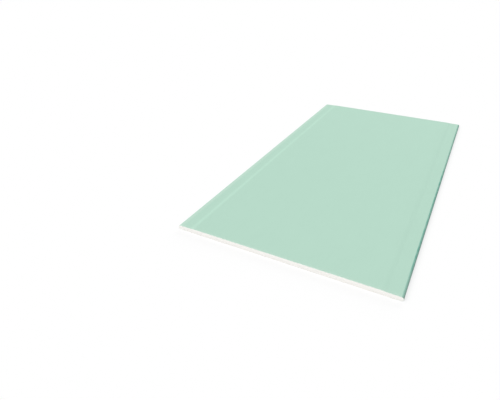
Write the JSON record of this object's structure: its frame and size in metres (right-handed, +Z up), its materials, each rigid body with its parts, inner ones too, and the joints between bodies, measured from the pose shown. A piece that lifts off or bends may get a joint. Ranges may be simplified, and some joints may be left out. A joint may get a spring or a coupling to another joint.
{
  "type": "drywall sheet",
  "caption": "Flat gypsum wallboard with green face paper wrapped over tapered, half-round long edges, square cut ends and plain back paper, for lining walls and ceilings.",
  "frame": {"origin": "under the middle of the sheet, on the surface that its back lies on", "axes": "+X across the width to one long edge, +Y along the length to one cut end, +Z up out of the green face"},
  "size_m": [0.6, 1.2, 0.013],
  "materials": {
    "gypsum": "matte",
    "green_paper": "matte",
    "plain_paper": "matte"
  },
  "bodies": {
    "root": {"gypsum_core": "gypsum", "face_paper": "green_paper", "back_paper": "plain_paper"}
  },
  "joints": []
}
